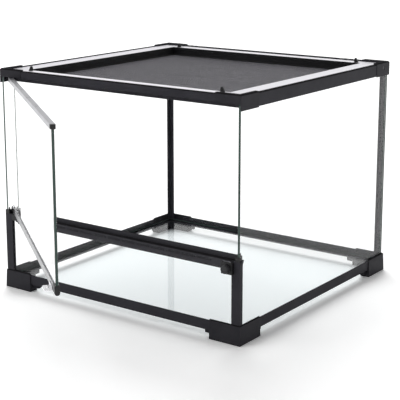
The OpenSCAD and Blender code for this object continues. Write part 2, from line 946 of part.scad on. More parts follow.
module door_top_rail_hinge() {
    color([0.7, 0.7, 0.72])
        on_door()
            difference() {
                union() {
                    run_x(0, door_seam - seam_gap / 2)
                        door_top_outline();
                    // round end, so that it turns clear of the door stop
                    translate([0, 0, door_top_z0])
                        cylinder(h = door_top_h, r = door_top_w / 2, $fn = FINE);
                }
                run_x(door_glass_s0 - 0.5, door_seam + OVER)
                    door_top_slot();
                rail_screw_hole(door_seam - rail_screw_off);
                translate([0, 0, door_top_z0 + 1.6])
                    cylinder(h = door_top_h, r = pin_r + 0.02, $fn = FINE);
            }
}

module door_top_rail_free() {
    color([0.7, 0.7, 0.72])
        on_door()
            difference() {
                run_x(door_seam + seam_gap / 2, door_len - cap_top_len)
                    door_top_outline();
                run_x(door_seam - OVER, door_len)
                    door_top_slot();
                rail_screw_hole(door_seam + rail_screw_off);
            }
}

module door_rail_screws() {
    color([0.45, 0.45, 0.47])
        on_door()
            for (side = [-1, 1])
                translate([door_seam + side * rail_screw_off, 0, door_z1 - 1])
                    cylinder(h = 0.8, r = rail_screw_r, $fn = 24);
}

// Bullet section of the door's bottom rail, grown by the cap's swell.
module bullet(grow) {
    r = door_bottom_w / 2 + grow;
    translate([0, door_z0 + door_bottom_w / 2])
        circle(r, $fn = FINE);
    translate([-r, door_z0 + door_bottom_w / 2])
        square([2 * r, door_bottom_h - door_bottom_w / 2 + grow]);
}

module door_bottom_slot() {
    translate([-door_slot, door_glass_z0])
        square([2 * door_slot, door_bottom_grip + 2]);
}

module door_bottom_rail() {
    color([0.7, 0.7, 0.72])
        on_door()
            difference() {
                union() {
                    run_x(0, door_len - cap_bottom_len)
                        bullet(0);
                    translate([0, 0, door_z0 + 0.5])
                        cylinder(h = door_bottom_h - 0.5, r = door_bottom_w / 2, $fn = FINE);
                }
                run_x(door_glass_s0 - 0.5, door_len)
                    door_bottom_slot();
                translate([0, 0, door_z0 - OVER])
                    cylinder(h = OVER + door_bottom_h / 2, r = pin_r + 0.02, $fn = FINE);
            }
}

module door_cap_top() {
    c = 1.2;
    half = door_top_w / 2;
    s0 = door_len - cap_top_len;
    color([0.13, 0.15, 0.15])
        on_door()
            difference() {
                run_x(s0, door_len)
                    polygon([[-half + c, door_top_z0], [half - c, door_top_z0], [half, door_top_z0 + c],
                        [half, door_z1], [-half, door_z1], [-half, door_top_z0 + c]]);
                run_x(s0 - OVER, door_glass_s1 + SEAT)
                    door_top_slot();
            }
}

module door_cap_bottom() {
    s0 = door_len - cap_bottom_len;
    color([0.13, 0.15, 0.15])
        on_door()
            difference() {
                run_x(s0, door_len)
                    bullet(cap_swell);
                run_x(s0 - OVER, door_glass_s1 + SEAT)
                    door_bottom_slot();
            }
}

module door_pull() {
    face = -door_bottom_w / 2;
    low = door_z0 + door_bottom_w / 2 - 2.4;
    s0 = pull_s1 - pull_len;
    edge = face - pull_out;
    color([0.8, 0.8, 0.82])
        on_door() {
            // flange on the rail's flat flank
            block([s0, face - pull_t, low], [pull_s1, face - SEAT, low + pull_flange_h]);
            // plate with rounded outer corners
            difference() {
                block([s0, edge, low], [pull_s1, face - pull_t + EPS, low + pull_t]);
                for (s = [s0, pull_s1])
                    translate([s, edge, low - OVER])
                        rotate([0, 0, 45])
                            cube([4, 4, 2 * (pull_t + 2 * OVER)], center = true);
            }
            // turned-down lip for the fingers
            block([s0 + 3, edge, low - 2], [pull_s1 - 3, edge + 1.2, low + EPS]);
        }
}

module door_pin_top() {
    color([0.5, 0.5, 0.52])
        on_door()
            translate([0, 0, door_top_z0 + 1.7])
                cylinder(h = band_z + pin_reach - door_top_z0 - 1.7, r = pin_r, $fn = FINE);
}

module door_pin_bottom() {
    low = vent_top_z + 0.3 - pin_reach;
    color([0.5, 0.5, 0.52])
        on_door()
            translate([0, 0, low])
                cylinder(h = door_z0 + door_bottom_h / 2 - 0.1 - low, r = pin_r, $fn = FINE);
}

// ---- lock ----------------------------------------------------------------------------------

// Places the lock's parts, drawn from the knob's axis with Y along the depth behind the strip's face.
module on_lock() {
    translate([lock_x, -tank_d / 2, knob_z])
        children();
}

// A disc or hole along the knob's axis, between two depths.
module axle(front, back, r) {
    translate([0, back, 0])
        rotate([90, 0, 0])
            cylinder(h = back - front, r = r, $fn = FINE);
}

module lock_body() {
    half = lock_w / 2;
    low = lock_z0 - knob_z;
    high = lock_z1 - knob_z;
    strip_low = vent_z0 - knob_z;
    color([0.19, 0.19, 0.2])
        on_lock()
            difference() {
                union() {
                    block([-half, -lock_face, low], [half, 0, high]);
                    block([-half, -EPS, low],
                        [lock_in - front_post_w - SEAT, glass_inset, strip_low - SEAT]);
                }
                // room for the crank and the latch plate, open at the top
                block([-half + lock_wall, -latch_front - SLIDE, low + lock_wall],
                    [half - lock_wall, -latch_front + latch_t + SLIDE, high + OVER]);
                block([-half + lock_wall, -latch_front, low + lock_wall],
                    [half - lock_wall, -lock_wall + SEAT, high - lock_wall]);
                axle(-lock_face - OVER, -latch_front, shaft_r + pin_clear);
            }
}

module lock_knob() {
    back = -lock_face - 0.3;
    front = back - knob_d;
    color([0.24, 0.24, 0.25])
        on_lock()
            difference() {
                union() {
                    axle(front + 1.2, back, knob_r);
                    axle(front, front + 1.2 + EPS, knob_r - 1.2);
                    axle(back - EPS, -lock_wall - crank_t, shaft_r);
                }
                // thumb slot across the face
                block([-knob_r * 0.75, front - OVER, -0.9], [knob_r * 0.75, front + 0.8, 0.9]);
            }
}

module lock_crank() {
    back = -lock_wall - SEAT / 2;
    front = back - crank_t + SEAT;
    color([0.6, 0.6, 0.62])
        on_lock()
            union() {
                axle(front, back, crank_r + peg_r + 0.2);
                rotate([0, 45, 0])
                    translate([crank_r, 0, 0])
                        axle(-latch_front + 0.3, front + EPS, peg_r);
            }
}

module lock_latch() {
    half = latch_w / 2;
    low = latch_z0 - knob_z;
    high = latch_z1 - knob_z;
    peg_z = -crank_r * sqrt(1 / 2);
    color([0.28, 0.28, 0.29])
        on_lock()
            difference() {
                block([-half, -latch_front, low], [half, -latch_front + latch_t, high]);
                // slot that lets the shaft pass as the plate rises
                block([-shaft_r - 0.3, -lock_face, -latch_lift - shaft_r - 0.3],
                    [shaft_r + 0.3, 0, shaft_r + 0.3]);
                // cross slot for the crank's peg
                block([0, -lock_face, peg_z - peg_r - 0.35],
                    [crank_r + peg_r + 0.4, 0, peg_z + peg_r + 0.35]);
            }
}

// ---- lid -----------------------------------------------------------------------------------

// Corners of the lid's opening, or of a rectangle outside it.
function lid_hole(grow) = inset(lid_near + lid_side_w - grow, lid_near + lid_frame_w - grow,
    lid_near_back + lid_frame_w - grow);

// Section of a hollow bar, open below, from its outer edge.
function lid_bar_section(near, w) = [
    [near, lid_z0], [near, lid_z1], [near + w, lid_z1], [near + w, lid_z0],
    [near + w - lid_frame_wall, lid_z0], [near + w - lid_frame_wall, lid_z1 - lid_frame_wall],
    [near + lid_frame_wall, lid_z1 - lid_frame_wall], [near + lid_frame_wall, lid_z0]];

module lid_bar_x(near) {
    color([0.88, 0.88, 0.9])
        run_x(lid_corner_leg, tank_w - lid_corner_leg)
            polygon(lid_bar_section(near, lid_frame_w));
}

module lid_bar_y() {
    color([0.88, 0.88, 0.9])
        run_y(lid_corner_leg, tank_d - lid_corner_leg)
            polygon(lid_bar_section(lid_near, lid_side_w));
}

module lid_frame_front() {
    at_corner()
        lid_bar_x(lid_near);
}

module lid_frame_back() {
    at_corner(back = true)
        lid_bar_x(lid_near_back);
}

module lid_frame_left() {
    at_corner()
        lid_bar_y();
}

module lid_frame_right() {
    at_corner(right = true)
        lid_bar_y();
}

// An L-shaped corner piece with a tenon for each bar and a bore for the clamp.
module lid_corner(near) {
    play = lid_frame_wall + SEAT;
    low = lid_z0 + 0.2;
    high = lid_z1 - lid_frame_wall - SEAT / 2;
    reach = lid_corner_leg + lid_tenon;
    difference() {
        union() {
            block([lid_near, near, lid_z0], [lid_corner_leg, near + lid_frame_w, lid_z1]);
            block([lid_near, near, lid_z0], [lid_near + lid_side_w, lid_corner_leg, lid_z1]);
            block([lid_corner_leg - EPS, near + play, low], [reach, near + lid_frame_w - play, high]);
            block([lid_near + play, lid_corner_leg - EPS, low],
                [lid_near + lid_side_w - play, reach, high]);
        }
        translate([clamp_side, near - lid_gap + ledge_w + clamp_off, lid_z0 - OVER])
            cylinder(h = lid_frame_h + 2 * OVER, r = clamp_r + pin_clear, $fn = FINE);
    }
}

module lid_corners() {
    color([0.84, 0.84, 0.86])
        for (right = [false, true])
            for (back = [false, true])
                at_corner(right, back)
                    lid_corner(back ? lid_near_back : lid_near);
}

module well_bar(side) {
    outer = lid_hole(well_step + lid_well_wall);
    collar = lid_hole(-SEAT / 2 - well_collar);
    color([0.1, 0.1, 0.11]) {
        mitred(side, outer, lid_hole(well_step), well_z0, lid_z0);
        mitred(side, outer, lid_hole(well_step + lid_well_wall - screen_lip), well_z0, screen_z0);
        mitred(side, outer, collar, lid_z0 - lid_well_wall, lid_z0);
        mitred(side, lid_hole(-SEAT / 2), collar, lid_z0 - EPS, lid_z1 - 0.2);
    }
}

module lid_well_front() {
    well_bar(0);
}

module lid_well_right() {
    well_bar(1);
}

module lid_well_back() {
    well_bar(2);
}

module lid_well_left() {
    well_bar(3);
}

module lid_screen() {
    field = lid_hole(-screen_hem);
    low = field[0];
    pitch = (field[2] - low + [screen_bar, screen_bar]) / screen_cells;
    color([0.43, 0.43, 0.46])
        translate([0, 0, screen_z0])
            linear_extrude(screen_t)
                difference() {
                    polygon(lid_hole(0));
                    for (i = [0:screen_cells - 1])
                        for (j = [0:screen_cells - 1])
                            translate([low[0] + i * pitch[0], low[1] + j * pitch[1]])
                                square([pitch[0] - screen_bar, pitch[1] - screen_bar]);
                }
}

module lid_spline() {
    outer = well_step - 0.05;
    color([0.08, 0.08, 0.09])
        translate([0, 0, screen_z0 + screen_t])
            linear_extrude(spline_h)
                difference() {
                    polygon(lid_hole(outer));
                    polygon(lid_hole(outer - spline_w));
                }
}

// A quarter-turn clamp: thumb fin, shaft and the tongue that swings under the front or back ledge.
module clamp(rim) {
    boss_h = 0.8;
    low = clamp_tongue_z1 - clamp_tongue_t;
    foot = lid_z1 + 0.05;
    color([0.1, 0.1, 0.11])
        translate([clamp_side, rim + ledge_w + clamp_off, 0]) {
            translate([0, 0, foot])
                cylinder(h = boss_h, r = fin_w / 2 + 0.4, $fn = FINE);
            translate([0, 0, low])
                cylinder(h = foot - low + EPS, r = clamp_r, $fn = FINE);
            translate([0, 0, low])
                cylinder(h = clamp_tongue_t, r = clamp_tongue_w / 2, $fn = FINE);
            block([-clamp_reach, -clamp_tongue_w / 2, low], [0, clamp_tongue_w / 2, low + clamp_tongue_t]);
            // leaning fin
            translate([0, fin_t / 2, foot + boss_h - EPS])
                rotate([90, 0, 0])
                    linear_extrude(fin_t)
                        polygon([[-fin_w / 2, 0], [fin_w / 2, 0], [fin_w / 2, fin_h * 0.55],
                            [fin_w / 2 - 1, fin_h - 1.2], [fin_w / 2 - 2.2, fin_h], [0.6, fin_h],
                            [-0.6, fin_h - 1]]);
        }
}

module clamp_front_left() {
    at_corner()
        clamp(rim_w);
}

module clamp_front_right() {
    at_corner(right = true)
        clamp(rim_w);
}

module clamp_back_left() {
    at_corner(back = true)
        clamp(back_rim_w);
}

module clamp_back_right() {
    at_corner(right = true, back = true)
        clamp(back_rim_w);
}

// ---- cable inlets --------------------------------------------------------------------------

module slider(from) {
    color([0.12, 0.12, 0.13]) {
        intersection() {
            slider_track(from, from + slider_len, 0);
            block([from, 0, 0], [from + slider_len, back_rim_w, slider_z1]);
        }
        for (rib = [0 : slider_ribs - 1])
            block([from + 3 + rib * rib_pitch, inlet_u, slider_z1 - EPS],
                [from + 3 + rib * rib_pitch + rib_len, inlet_u + inlet_w, slider_z1 + rib_h]);
    }
}

module inlet_slider_left() {
    at_corner(back = true)
        slider(slider_left_at);
}

module inlet_slider_right() {
    at_corner(right = true, back = true)
        slider(slider_right_at);
}

floor_glass();
left_glass();
right_glass();
back_glass();
front_lower_glass();
foot_front_left();
foot_front_right();
foot_back_left();
foot_back_right();
bottom_rail_front();
bottom_rail_back();
bottom_rail_left();
bottom_rail_right();
top_corner_front_left();
top_corner_front_right();
top_corner_back_left();
top_corner_back_right();
top_rail_front();
top_rail_back();
top_rail_left();
top_rail_right();
corner_screws();
back_post_left();
back_post_right();
front_post_left();
front_post_right();
vent_strip();
hinge_block();
strip_end();
door_glass();
door_top_rail_hinge();
door_top_rail_free();
door_bottom_rail();
door_cap_top();
door_cap_bottom();
door_pull();
door_rail_screws();
door_pin_top();
door_pin_bottom();
lock_body();
lock_knob();
lock_crank();
lock_latch();
lid_frame_front();
lid_frame_back();
lid_frame_left();
lid_frame_right();
lid_corners();
lid_well_front();
lid_well_back();
lid_well_left();
lid_well_right();
lid_screen();
lid_spline();
clamp_front_left();
clamp_front_right();
clamp_back_left();
clamp_back_right();
inlet_slider_left();
inlet_slider_right();
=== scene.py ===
"""Dresses a front-opening glass terrarium: panes, black rails, a hinged door, a lock and a screen lid."""

import json
import logging
import math
from dataclasses import dataclass
from enum import Enum

import bmesh
import bpy
from mathutils import Matrix, Vector


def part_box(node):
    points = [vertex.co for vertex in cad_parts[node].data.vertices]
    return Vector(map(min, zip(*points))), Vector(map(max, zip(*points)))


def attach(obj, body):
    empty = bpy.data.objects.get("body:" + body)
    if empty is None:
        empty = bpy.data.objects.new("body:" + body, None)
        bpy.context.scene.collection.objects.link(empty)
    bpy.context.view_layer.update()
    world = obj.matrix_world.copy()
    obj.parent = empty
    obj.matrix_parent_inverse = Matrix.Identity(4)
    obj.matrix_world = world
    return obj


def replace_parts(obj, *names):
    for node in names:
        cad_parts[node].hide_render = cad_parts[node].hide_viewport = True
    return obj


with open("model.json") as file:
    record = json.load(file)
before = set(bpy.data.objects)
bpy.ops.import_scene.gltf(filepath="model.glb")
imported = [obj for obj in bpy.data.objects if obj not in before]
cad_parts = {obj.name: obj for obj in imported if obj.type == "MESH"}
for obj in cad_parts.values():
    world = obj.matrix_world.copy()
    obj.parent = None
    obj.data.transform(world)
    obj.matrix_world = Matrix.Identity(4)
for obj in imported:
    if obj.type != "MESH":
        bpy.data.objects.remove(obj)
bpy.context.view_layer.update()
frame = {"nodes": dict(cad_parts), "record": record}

LOG = logging.getLogger("terrarium")

# Vertices closer than this are one, and faces that turn by less than this are one face.
WELD = 0.000004
FLAT_TURN = math.radians(0.6)

# An edge that turns by more than this is rounded, and one by more than this stays sharp in shading.
ROUNDED_TURN = math.radians(30)
SHARP_TURN = math.radians(50)

# A face whose normal rises by more than this looks up.
LOOKS_UP = 0.5

# Roundings of pins and screws, of small trim, of bars and of a pane's arris.
PIN_ROUND = 0.0002
TRIM_ROUND = 0.0003
BAR_ROUND = 0.0004

# Height of a woven wire as a share of its width.
WIRE_FLATNESS = 0.66

SIDES = ("front", "back", "left", "right")
CORNERS = ("front_left", "front_right", "back_left", "back_right")


class Run(Enum):
    """The way a bar runs, as the angle of its length from +X."""

    ACROSS = 0.0
    DEEP = math.pi / 2
    DOOR = math.radians(-38)


# ---- shader groups --------------------------------------------------------------------------


class Tree:
    """Short calls for building one node tree."""

    def __init__(self, tree: bpy.types.NodeTree) -> None:
        """Keeps the tree.

        Args:
            tree: The node tree to fill.
        """
        self.tree = tree

    def add(self, kind: str, **values: object) -> bpy.types.Node:
        """Adds a node.

        Args:
            kind: Blender's name of the node type.
            **values: Properties, or sockets by name with underscores for spaces.

        Returns:
            The new node.
        """
        node = self.tree.nodes.new(kind)
        for name, value in values.items():
            socket = name.replace("_", " ")
            if socket in node.inputs:
                node.inputs[socket].default_value = value
            else:
                setattr(node, name, value)
        return node

    def link(self, source: bpy.types.NodeSocket, target: bpy.types.NodeSocket) -> None:
        """Joins two sockets.

        Args:
            source: The output.
            target: The input.
        """
        self.tree.links.new(source, target)

    def math(self, operation: str, first: object, second: object = 0.0) -> bpy.types.NodeSocket:
        """Adds a Math node.

        Args:
            operation: The node's operation.
            first: A number or a socket.
            second: A number or a socket.

        Returns:
            The node's result.
        """
        node = self.tree.nodes.new("ShaderNodeMath")
        node.operation = operation
        for socket, value in zip(node.inputs, (first, second)):
            if isinstance(value, bpy.types.NodeSocket):
                self.link(value, socket)
            else:
                socket.default_value = value
        return node.outputs[0]


def new_group(name: str, inputs: dict[str, float],
              outputs: tuple[str, ...]) -> tuple[Tree, bpy.types.Node, bpy.types.Node]:
    """Starts a shader group with float sockets.

    Args:
        name: The group's name.
        inputs: Input names and their default values.
        outputs: Output names.

    Returns:
        The group's tree, its input node and its output node.
    """
    group = bpy.data.node_groups.new(name, "ShaderNodeTree")
    for label, value in inputs.items():
        socket = group.interface.new_socket(label, in_out="INPUT", socket_type="NodeSocketFloat")
        socket.default_value = value
    for label in outputs:
        group.interface.new_socket(label, in_out="OUTPUT", socket_type="NodeSocketFloat")
    tree = Tree(group)
    return tree, tree.add("NodeGroupInput"), tree.add("NodeGroupOutput")


def moulded_grain() -> bpy.types.NodeTree:
    """The fine leathered grain and the slow unevenness of moulded plastic.

    Returns:
        A group with Height for a bump, Shade for colour and Polish for roughness.
    """
    tree, entry, leave = new_group("moulded_grain", {"Scale": 900.0}, ("Height", "Shade", "Polish"))
    place = tree.add("ShaderNodeTexCoord").outputs["Object"]
    grain = tree.add("ShaderNodeTexVoronoi", feature="SMOOTH_F1")
    fleck = tree.add("ShaderNodeTexNoise", Scale=1500.0, Detail=3.0)
    cloud = tree.add("ShaderNodeTexNoise", Scale=14.0, Detail=4.0)
    smear = tree.add("ShaderNodeTexNoise", Scale=45.0, Detail=3.0, Distortion=0.6)
    for node in (grain, fleck, cloud, smear):
        tree.link(place, node.inputs["Vector"])
    tree.link(entry.outputs["Scale"], grain.inputs["Scale"])
    height = tree.math("ADD", tree.math("MULTIPLY", grain.outputs["Distance"], 0.7), fleck.outputs["Fac"])
    tree.link(height, leave.inputs["Height"])
    tree.link(cloud.outputs["Fac"], leave.inputs["Shade"])
    tree.link(smear.outputs["Fac"], leave.inputs["Polish"])
    return tree.tree


def rubbed_edges() -> bpy.types.NodeTree:
    """A mask of the worn outer edges, found by rounding the normal.

    Returns:
        A group with Mask, from 0 on the flats to 1 on a rubbed edge.
    """
    tree, entry, leave = new_group("rubbed_edges", {"Amount": 1.0}, ("Mask",))
    round_normal = tree.add("ShaderNodeBevel", samples=4, Radius=0.0009)
    flat_normal = tree.add("ShaderNodeNewGeometry").outputs["Normal"]
    dot = tree.add("ShaderNodeVectorMath", operation="DOT_PRODUCT")
    tree.link(round_normal.outputs["Normal"], dot.inputs[0])
    tree.link(flat_normal, dot.inputs[1])
    spots = tree.add("ShaderNodeTexNoise", Scale=160.0, Detail=4.0)
    tree.link(tree.add("ShaderNodeTexCoord").outputs["Object"], spots.inputs["Vector"])
    bend = tree.math("MULTIPLY", tree.math("SUBTRACT", 1.0, dot.outputs["Value"]), 5.0)
    patch = tree.math("MULTIPLY", bend, spots.outputs["Fac"])
    mask = tree.math("MINIMUM", tree.math("MULTIPLY", patch, entry.outputs["Amount"]), 1.0)
    tree.link(tree.math("MAXIMUM", mask, 0.0), leave.inputs["Mask"])
    return tree.tree


def drawn_streaks() -> bpy.types.NodeTree:
    """The fine lines that drawing and brushing leave along a metal bar.

    Returns:
        A group with Height, Shade and Polish, whose lines run at Angle from +X.
    """
    tree, entry, leave = new_group("drawn_streaks", {"Angle": 0.0}, ("Height", "Shade", "Polish"))
    turn = tree.add("ShaderNodeVectorRotate", rotation_type="Z_AXIS", invert=True)
    tree.link(tree.add("ShaderNodeTexCoord").outputs["Object"], turn.inputs["Vector"])
    tree.link(entry.outputs["Angle"], turn.inputs["Angle"])
    for label, stretch in (("Height", (4.0, 2400.0, 2400.0)), ("Shade", (9.0, 700.0, 700.0)),
                           ("Polish", (22.0, 60.0, 60.0))):
        size = tree.add("ShaderNodeVectorMath", operation="MULTIPLY")
        tree.link(turn.outputs["Vector"], size.inputs[0])
        size.inputs[1].default_value = stretch
        lines = tree.add("ShaderNodeTexNoise", Scale=1.0, Detail=3.0)
        tree.link(size.outputs["Vector"], lines.inputs["Vector"])
        tree.link(lines.outputs["Fac"], leave.inputs[label])
    return tree.tree


GROUPS: dict[str, bpy.types.NodeTree] = {}


# ---- finishes -------------------------------------------------------------------------------

Colour = tuple[float, float, float]


def blend_colour(tree: Tree, factor: bpy.types.NodeSocket, first: Colour | bpy.types.NodeSocket,
                 second: Colour) -> bpy.types.NodeSocket:
    """Mixes two colours.

    Args:
        tree: The tree to add to.
        factor: The mask, 0 for the first colour and 1 for the second.
        first: Linear colour at 0, or a socket.
        second: Linear colour at 1.

    Returns:
        The mixed colour.
    """
    mix = tree.add("ShaderNodeMix", data_type="RGBA")
    tree.link(factor, mix.inputs["Factor"])
    if isinstance(first, bpy.types.NodeSocket):
        tree.link(first, mix.inputs[6])
    else:
        mix.inputs[6].default_value = (*first, 1.0)
    mix.inputs[7].default_value = (*second, 1.0)
    return mix.outputs[2]


def ranged(tree: Tree, source: bpy.types.NodeSocket, low: float, high: float) -> bpy.types.NodeSocket:
    """Stretches a noise's middle range.

    Args:
        tree: The tree to add to.
        source: A value that stays mostly between 0.3 and 0.7.
        low: Result at 0.3.
        high: Result at 0.7.

    Returns:
        The stretched value.
    """
    node = tree.add("ShaderNodeMapRange")
    for place, value in enumerate((0.3, 0.7, low, high), 1):
        node.inputs[place].default_value = value
    tree.link(source, node.inputs[0])
    return node.outputs[0]


def start_material(name: str) -> tuple[bpy.types.Material, Tree, bpy.types.Node]:
    """Starts a material with a Principled shader.

    Args:
        name: The material's name.

    Returns:
        The material, its tree and its Principled node.
    """
    material = bpy.data.materials.new(name)
    material.use_nodes = True
    tree = Tree(material.node_tree)
    return material, tree, tree.tree.nodes["Principled BSDF"]


def split_surface(tree: Tree, mask: bpy.types.NodeSocket, first: bpy.types.Node,
                  second: bpy.types.Node) -> None:
    """Shows one shader where a mask is 0 and another where it is 1.

    Args:
        tree: The tree to add to.
        mask: The mask.
        first: Shader at 0.
        second: Shader at 1.
    """
    mix = tree.add("ShaderNodeMixShader")
    tree.link(mask, mix.inputs["Fac"])
    tree.link(first.outputs[0], mix.inputs[1])
    tree.link(second.outputs[0], mix.inputs[2])
    tree.link(mix.outputs[0], tree.tree.nodes["Material Output"].inputs["Surface"])


def use_group(tree: Tree, name: str, **values: float) -> bpy.types.Node:
    """Places a shared group.

    Args:
        tree: The tree to add to.
        name: The group's name.
        **values: The group's input values.

    Returns:
        The group node.
    """
    if name not in GROUPS:
        GROUPS[name] = {"moulded_grain": moulded_grain, "rubbed_edges": rubbed_edges,
                        "drawn_streaks": drawn_streaks}[name]()
    node = tree.add("ShaderNodeGroup", node_tree=GROUPS[name])
    for label, value in values.items():
        node.inputs[label].default_value = value
    return node


def bump(tree: Tree, height: bpy.types.NodeSocket, shader: bpy.types.Node, strength: float,
         depth: float) -> None:
    """Gives a shader a bumped normal.

    Args:
        tree: The tree to add to.
        height: The height pattern.
        shader: The Principled node.
        strength: Share of the bump, 0 to 1.
        depth: Height of the pattern in metres.
    """
    node = tree.add("ShaderNodeBump", Strength=strength, Distance=depth)
    tree.link(height, node.inputs["Height"])
    tree.link(node.outputs["Normal"], shader.inputs["Normal"])


@dataclass(frozen=True)
class Plastic:
    """Moulded or extruded plastic.

    Its colour drifts between dark and light, and its worn edges turn to the edge colour.
    """

    name: str
    dark: Colour
    light: Colour
    edge: Colour
    roughness: float
    specular: float = 0.3
    grain: float = 900.0
    depth: float = 0.00006

    def make(self) -> bpy.types.Material:
        """Builds the material.

        Returns:
            The material.
        """
        material, tree, shader = start_material(self.name)
        grain = use_group(tree, "moulded_grain", Scale=self.grain)
        rub = use_group(tree, "rubbed_edges", Amount=0.8)
        body = blend_colour(tree, ranged(tree, grain.outputs["Shade"], 0, 1), self.dark, self.light)
        worn = blend_colour(tree, rub.outputs["Mask"], body, self.edge)
        tree.link(worn, shader.inputs["Base Color"])
        polish = ranged(tree, grain.outputs["Polish"], self.roughness - 0.06, self.roughness + 0.06)
        tree.link(polish, shader.inputs["Roughness"])
        shader.inputs["Specular IOR Level"].default_value = self.specular
        bump(tree, grain.outputs["Height"], shader, 0.35, self.depth)
        return material


@dataclass(frozen=True)
class Metal:
    """Drawn, brushed or polished metal."""

    name: str
    dark: Colour
    light: Colour
    roughness: float
    run: Run = Run.ACROSS
    depth: float = 0.00002
    metallic: float = 1.0

    def make(self) -> bpy.types.Material:
        """Builds the material.

        Returns:
            The material.
        """
        material, tree, shader = start_material(f"{self.name}_{self.run.name.lower()}")
        lines = use_group(tree, "drawn_streaks", Angle=self.run.value)
        tree.link(blend_colour(tree, ranged(tree, lines.outputs["Shade"], 0, 1), self.dark, self.light),
                  shader.inputs["Base Color"])
        shader.inputs["Metallic"].default_value = self.metallic
        polish = ranged(tree, lines.outputs["Polish"], self.roughness - 0.05, self.roughness + 0.05)
        tree.link(polish, shader.inputs["Roughness"])
        bump(tree, lines.outputs["Height"], shader, 0.3, self.depth)
        return material


@dataclass(frozen=True)
class PaneGlass:
    """Clear float glass, which lets light through to what stands behind it."""

    name: str
    tint: Colour
    ior: float = 1.18
    sheen: float = 0.0

    def make(self) -> bpy.types.Material:
        """Builds the material.

        Returns:
            The material.
        """
        material, tree, shader = start_material(self.name)
        smudge = use_group(tree, "moulded_grain")
        clean = tuple(min(1.0, c + 0.006) for c in self.tint)
        tree.link(blend_colour(tree, ranged(tree, smudge.outputs["Shade"], 0, 1), self.tint, clean),
                  shader.inputs["Base Color"])
        shader.inputs["Roughness"].default_value = 0.0
        shader.inputs["IOR"].default_value = self.ior
        shader.inputs["Transmission Weight"].default_value = 1.0
        if self.sheen:
            slant = tree.add("ShaderNodeLayerWeight", Blend=0.5).outputs["Facing"]
            tree.link(tree.math("POWER", slant, self.sheen), shader.inputs["Coat Weight"])
            shader.inputs["Coat Roughness"].default_value = 0.0
            shader.inputs["Coat IOR"].default_value = 3.0
        clear = tree.add("ShaderNodeBsdfTransparent", Color=(*self.tint, 1.0))
        path = tree.add("ShaderNodeLightPath")
        plain = tree.math("MAXIMUM", path.outputs["Is Shadow Ray"], path.outputs["Is Diffuse Ray"])
        split_surface(tree, plain, shader, clear)
        return material


@dataclass(frozen=True)
class CutEdge:
    """The ground edge of a pane, dark green where one looks along the glass."""

    name: str
    deep: Colour
    pale: Colour

    def make(self) -> bpy.types.Material:
        """Builds the material.

        Returns:
            The material.
        """
        material, tree, shader = start_material(self.name)
        grain = use_group(tree, "moulded_grain", Scale=1800.0)
        tree.link(blend_colour(tree, ranged(tree, grain.outputs["Shade"], 0, 1), self.deep, self.pale),
                  shader.inputs["Base Color"])
        tree.link(ranged(tree, grain.outputs["Polish"], 0.12, 0.28), shader.inputs["Roughness"])
        bump(tree, grain.outputs["Height"], shader, 0.15, 0.00003)
        return material


BLACK_STRIP = Plastic("black_strip", (0.046, 0.0455, 0.052), (0.06, 0.0592, 0.067), (0.09, 0.089, 0.098),
                      0.42, specular=0.05)
BLACK_RAIL = Plastic("black_rail", (0.032, 0.0314, 0.037), (0.043, 0.0422, 0.05), (0.075, 0.074, 0.083),
                     0.42, specular=0.05)
BLACK_FOOT = Plastic("black_foot", (0.027, 0.0264, 0.031), (0.038, 0.0374, 0.043), (0.075, 0.074, 0.082),
                     0.46, specular=0.06, grain=700.0)
# Up-facing faces of the black parts: a rougher matte finish, and a colour darker than the sides that is
# painted shade.
SHADED_MATT_TOP = Plastic("shaded_matt_top", (0.012, 0.012, 0.013), (0.018, 0.017, 0.019), (0.05, 0.05, 0.053), 0.8,
                   specular=0.02)
BLACK_TRIM = Plastic("black_trim", (0.008, 0.008, 0.009), (0.013, 0.013, 0.014), (0.045, 0.045, 0.048), 0.34)
# Near-black that paints shade: the lid's inner walls, and the sheet behind the strip's slots.
SHADE_BLACK = Plastic("painted_shade_black", (0.006, 0.006, 0.007), (0.009, 0.009, 0.01), (0.03, 0.03, 0.032), 0.5,
                     specular=0.2)
BLACK_CORD = Plastic("black_cord", (0.008, 0.008, 0.008), (0.012, 0.012, 0.012), (0.02, 0.02, 0.02), 0.7,
                     grain=2600.0)
KNOB_GREY = Plastic("knob_grey", (0.02, 0.02, 0.022), (0.03, 0.03, 0.033), (0.08, 0.08, 0.085), 0.4,
                    grain=1300.0)
DOOR_ALLOY = Metal("door_alloy", (0.36, 0.36, 0.38), (0.44, 0.44, 0.46), 0.38, Run.DOOR)
DOOR_POLISH = Metal("door_polish", (0.2, 0.2, 0.212), (0.28, 0.28, 0.292), 0.28, Run.DOOR, depth=0.000008)
# One alloy in two copies, lighter on the front and back bars and darker on the side bars: painted light and
# shade.
LID_LIT_ACROSS = Metal("lid_alloy", (0.8, 0.79, 0.83), (0.87, 0.86, 0.9), 0.42, metallic=0.5)
LID_SHADED_DEEP = Metal("lid_alloy", (0.72, 0.71, 0.75), (0.8, 0.79, 0.83), 0.42, Run.DEEP, metallic=0.6)
LID_CORNER = Metal("corner_alloy", (0.66, 0.65, 0.69), (0.76, 0.75, 0.79), 0.36, metallic=0.5)
BRIGHT_PULL = Metal("bright_pull", (0.62, 0.62, 0.64), (0.75, 0.75, 0.77), 0.14, Run.DOOR, depth=0.000005)
PIN_STEEL = Metal("pin_steel", (0.45, 0.45, 0.47), (0.55, 0.55, 0.57), 0.3)
BLACKED_STEEL = Metal("blacked_steel", (0.03, 0.03, 0.033), (0.05, 0.05, 0.055), 0.38)
LATCH_STEEL = Metal("latch_steel", (0.1, 0.1, 0.11), (0.2, 0.2, 0.21), 0.35)
SCREEN_WIRE = Metal("screen_wire", (0.15, 0.145, 0.162), (0.22, 0.215, 0.232), 0.45, metallic=0.4)
WALL_GLASS = PaneGlass("wall_glass", (0.955, 0.958, 0.958))
